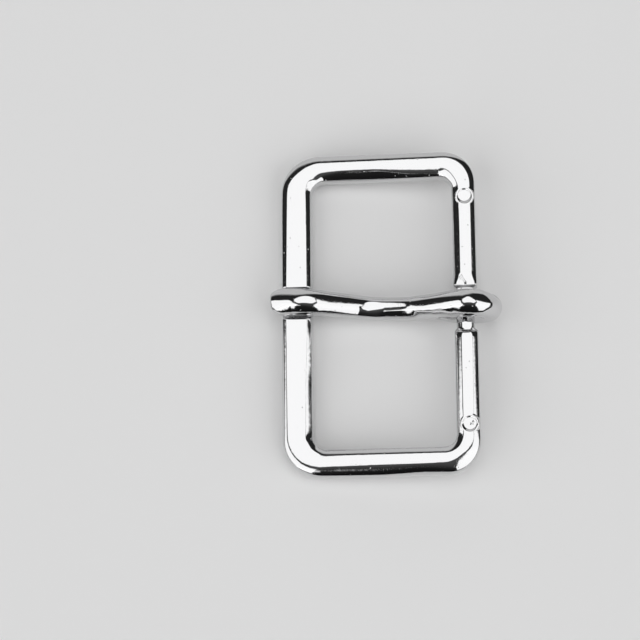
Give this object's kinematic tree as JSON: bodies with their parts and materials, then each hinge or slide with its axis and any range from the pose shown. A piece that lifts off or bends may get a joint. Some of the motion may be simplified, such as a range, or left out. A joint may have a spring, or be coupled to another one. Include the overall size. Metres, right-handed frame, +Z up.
{
  "type": "single-prong heel-bar belt buckle",
  "caption": "Rectangular cast belt buckle with rounded corners, a heel bar with a round neck, and a tongue that swings on it and rests in a notch.",
  "frame": {"origin": "on the surface that the buckle lies on, under the middle of its bounding box", "axes": "+Z up, +Y along the heel bar towards the end that the notch is offset to, +X from the front bar's notch to the heel bar"},
  "size_m": [0.034, 0.0482, 0.0101],
  "materials": {
    "chrome_plate": "bright chrome plate on polished zinc die castings, with small casting pits and nicks along the edges"
  },
  "bodies": {
    "frame": {"frame": "chrome_plate"},
    "tongue": {"tongue": "chrome_plate"}
  },
  "joints": [
    {"name": "tongue_swing", "type": "hinge", "parent": "frame", "child": "tongue", "pos_m": [0.01158, 0, 0.00461], "axis": [0, 1, 0], "range_deg": [0, 165]}
  ]
}
